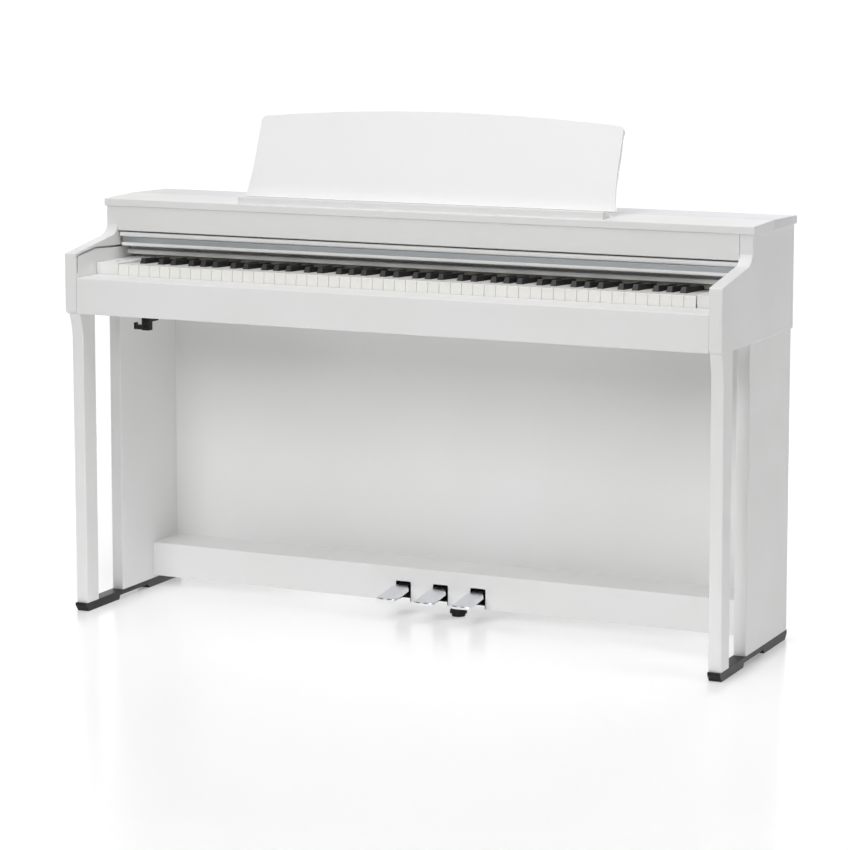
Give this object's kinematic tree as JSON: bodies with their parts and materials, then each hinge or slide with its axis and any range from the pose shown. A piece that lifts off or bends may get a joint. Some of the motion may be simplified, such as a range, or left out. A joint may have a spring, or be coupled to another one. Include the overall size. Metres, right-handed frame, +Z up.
{
  "type": "digital piano on stand",
  "caption": "Upright digital piano on a panel stand: full keyboard, sliding key cover, folding music rest and a low pedal box with three pedals",
  "frame": {"origin": "middle of the outline on the floor", "axes": "+X to the player's right, +Y from the player to the back, +Z up"},
  "size_m": [1.3848, 0.41, 1.0102],
  "materials": {
    "white_cabinet": "satin white lacquer on board",
    "white_key": "ivory-touch moulded key",
    "black_key": "ebony-touch moulded key",
    "cream_felt": "pressed felt",
    "black_steel": "black powder coat",
    "silver_strip": "satin anodised",
    "steel": "plain",
    "black_plastic": "fine moulded grain",
    "grey_plastic": "satin",
    "plated_pedal": "satin plating",
    "speaker_black": "black",
    "circuit_board": "solder resist"
  },
  "bodies": {
    "case_and_stand": {"back_panel": "white_cabinet", "circuit_boards": "circuit_board", "cover_guides": "black_steel", "fallboard_rail": "white_cabinet", "headphone_hook": "black_plastic", "headphone_jack_box": "black_plastic", "key_bed": "white_cabinet", "key_frame": "black_steel", "key_pivot_rod": "steel", "key_rear_felt": "cream_felt", "key_slip": "white_cabinet", "key_stop_rail": "black_steel", "left_end_block": "white_cabinet", "left_leg": "white_cabinet", "left_shoe": "black_plastic", "left_side_board": "white_cabinet", "left_side_panel": "white_cabinet", "music_rest_hinge_bases": "steel", "music_rest_ledge": "white_cabinet", "pedal_box_front": "white_cabinet", "pedal_box_top": "white_cabinet", "pedal_bracket": "black_steel", "pedal_pivot_rod": "steel", "pedal_springs": "steel", "rear_board": "white_cabinet", "rear_screws": "steel", "right_end_block": "white_cabinet", "right_leg": "white_cabinet", "right_shoe": "black_plastic", "right_side_board": "white_cabinet", "right_side_panel": "white_cabinet", "speakers": "speaker_black", "top_board_front": "white_cabinet", "top_board_rear": "white_cabinet", "upper_front_panel": "white_cabinet"},
    "cover_carriage": {"cover_carriage": "steel"},
    "key_cover": {"key_cover": "white_cabinet", "cover_face_strip": "silver_strip"},
    "power_button": {"power_button": "grey_plastic"},
    "function_button": {"function_button": "grey_plastic"},
    "volume_slider": {"volume_slider": "grey_plastic"},
    "music_rest": {"music_rest": "white_cabinet", "music_rest_hinge_leaves": "steel"},
    "left_pedal": {"left_pedal": "plated_pedal"},
    "middle_pedal": {"middle_pedal": "plated_pedal"},
    "right_pedal": {"right_pedal": "plated_pedal"},
    "adjuster_stud": {"adjuster_stud": "steel"},
    "adjuster_knob": {"adjuster_knob": "black_plastic"},
    "keys_c": {"keys_c": "white_key"},
    "keys_c_sharp": {"keys_c_sharp": "black_key"},
    "keys_d": {"keys_d": "white_key"},
    "keys_d_sharp": {"keys_d_sharp": "black_key"},
    "keys_e": {"keys_e": "white_key"},
    "keys_f": {"keys_f": "white_key"},
    "keys_f_sharp": {"keys_f_sharp": "black_key"},
    "keys_g": {"keys_g": "white_key"},
    "keys_g_sharp": {"keys_g_sharp": "black_key"},
    "keys_a": {"keys_a": "white_key"},
    "keys_a_sharp": {"keys_a_sharp": "black_key"},
    "keys_b": {"keys_b": "white_key"}
  },
  "joints": [
    {"name": "press_c", "type": "hinge", "parent": "case_and_stand", "child": "keys_c", "pos_m": [0, 0.121, 0.68165], "axis": [1, 0, 0], "range_deg": [0, 2.3], "stiffness_Nm_per_rad": 15, "springref_deg": -6.88},
    {"name": "press_c_sharp", "type": "hinge", "parent": "case_and_stand", "child": "keys_c_sharp", "pos_m": [0, 0.121, 0.68165], "axis": [1, 0, 0], "range_deg": [0, 2.3], "stiffness_Nm_per_rad": 12, "springref_deg": -6.88},
    {"name": "press_d", "type": "hinge", "parent": "case_and_stand", "child": "keys_d", "pos_m": [0, 0.121, 0.68165], "axis": [1, 0, 0], "range_deg": [0, 2.3], "stiffness_Nm_per_rad": 15, "springref_deg": -6.88},
    {"name": "press_d_sharp", "type": "hinge", "parent": "case_and_stand", "child": "keys_d_sharp", "pos_m": [0, 0.121, 0.68165], "axis": [1, 0, 0], "range_deg": [0, 2.3], "stiffness_Nm_per_rad": 12, "springref_deg": -6.88},
    {"name": "press_e", "type": "hinge", "parent": "case_and_stand", "child": "keys_e", "pos_m": [0, 0.121, 0.68165], "axis": [1, 0, 0], "range_deg": [0, 2.3], "stiffness_Nm_per_rad": 15, "springref_deg": -6.88},
    {"name": "press_f", "type": "hinge", "parent": "case_and_stand", "child": "keys_f", "pos_m": [0, 0.121, 0.68165], "axis": [1, 0, 0], "range_deg": [0, 2.3], "stiffness_Nm_per_rad": 15, "springref_deg": -6.88},
    {"name": "press_f_sharp", "type": "hinge", "parent": "case_and_stand", "child": "keys_f_sharp", "pos_m": [0, 0.121, 0.68165], "axis": [1, 0, 0], "range_deg": [0, 2.3], "stiffness_Nm_per_rad": 12, "springref_deg": -6.88},
    {"name": "press_g", "type": "hinge", "parent": "case_and_stand", "child": "keys_g", "pos_m": [0, 0.121, 0.68165], "axis": [1, 0, 0], "range_deg": [0, 2.3], "stiffness_Nm_per_rad": 15, "springref_deg": -6.88},
    {"name": "press_g_sharp", "type": "hinge", "parent": "case_and_stand", "child": "keys_g_sharp", "pos_m": [0, 0.121, 0.68165], "axis": [1, 0, 0], "range_deg": [0, 2.3], "stiffness_Nm_per_rad": 12, "springref_deg": -6.88},
    {"name": "press_a", "type": "hinge", "parent": "case_and_stand", "child": "keys_a", "pos_m": [0, 0.121, 0.68165], "axis": [1, 0, 0], "range_deg": [0, 2.3], "stiffness_Nm_per_rad": 15, "springref_deg": -6.88},
    {"name": "press_a_sharp", "type": "hinge", "parent": "case_and_stand", "child": "keys_a_sharp", "pos_m": [0, 0.121, 0.68165], "axis": [1, 0, 0], "range_deg": [0, 2.3], "stiffness_Nm_per_rad": 12, "springref_deg": -6.88},
    {"name": "press_b", "type": "hinge", "parent": "case_and_stand", "child": "keys_b", "pos_m": [0, 0.121, 0.68165], "axis": [1, 0, 0], "range_deg": [0, 2.3], "stiffness_Nm_per_rad": 15, "springref_deg": -6.88},
    {"name": "cover_slide", "type": "slide", "parent": "case_and_stand", "child": "cover_carriage", "axis": [0, -1, 0], "range_m": [0, 0.155]},
    {"name": "cover_tilt", "type": "hinge", "parent": "cover_carriage", "child": "key_cover", "pos_m": [0, 0.17, 0.742], "axis": [1, 0, 0], "range_deg": [0, 10.3]},
    {"name": "power_press", "type": "slide", "parent": "case_and_stand", "child": "power_button", "axis": [0, 0, -1], "range_m": [0, 0.0015], "stiffness_N_per_m": 300, "springref_m": -0.001},
    {"name": "function_press", "type": "slide", "parent": "case_and_stand", "child": "function_button", "axis": [0, 0, -1], "range_m": [0, 0.0015], "stiffness_N_per_m": 300, "springref_m": -0.001},
    {"name": "volume_move", "type": "slide", "parent": "case_and_stand", "child": "volume_slider", "axis": [0, 1, 0], "range_m": [-0.015, 0.015]},
    {"name": "music_rest_fold", "type": "hinge", "parent": "case_and_stand", "child": "music_rest", "pos_m": [0, 0.019, 0.8299], "axis": [-1, 0, 0], "range_deg": [0, 70]},
    {"name": "left_pedal_press", "type": "hinge", "parent": "case_and_stand", "child": "left_pedal", "pos_m": [0, 0.145, 0.061], "axis": [1, 0, 0], "range_deg": [0, 4.5], "stiffness_Nm_per_rad": 20, "springref_deg": -2.86},
    {"name": "middle_pedal_press", "type": "hinge", "parent": "case_and_stand", "child": "middle_pedal", "pos_m": [0, 0.145, 0.061], "axis": [1, 0, 0], "range_deg": [0, 4.5], "stiffness_Nm_per_rad": 20, "springref_deg": -2.86},
    {"name": "right_pedal_press", "type": "hinge", "parent": "case_and_stand", "child": "right_pedal", "pos_m": [0, 0.145, 0.061], "axis": [1, 0, 0], "range_deg": [0, 4.5], "stiffness_Nm_per_rad": 20, "springref_deg": -2.86},
    {"name": "adjuster_lift", "type": "slide", "parent": "case_and_stand", "child": "adjuster_stud", "axis": [0, 0, 1], "range_m": [0, 0.006]},
    {"name": "adjuster_turn", "type": "hinge", "parent": "adjuster_stud", "child": "adjuster_knob", "pos_m": [0.03, 0.104, 0], "axis": [0, 0, 1], "range_deg": [0, 1728]}
  ],
  "couplings": [
    {"joint": "cover_tilt", "follows": "cover_slide", "rad_per_m": 1.1485},
    {"joint": "adjuster_turn", "follows": "adjuster_lift", "rad_per_m": 5026.5}
  ]
}
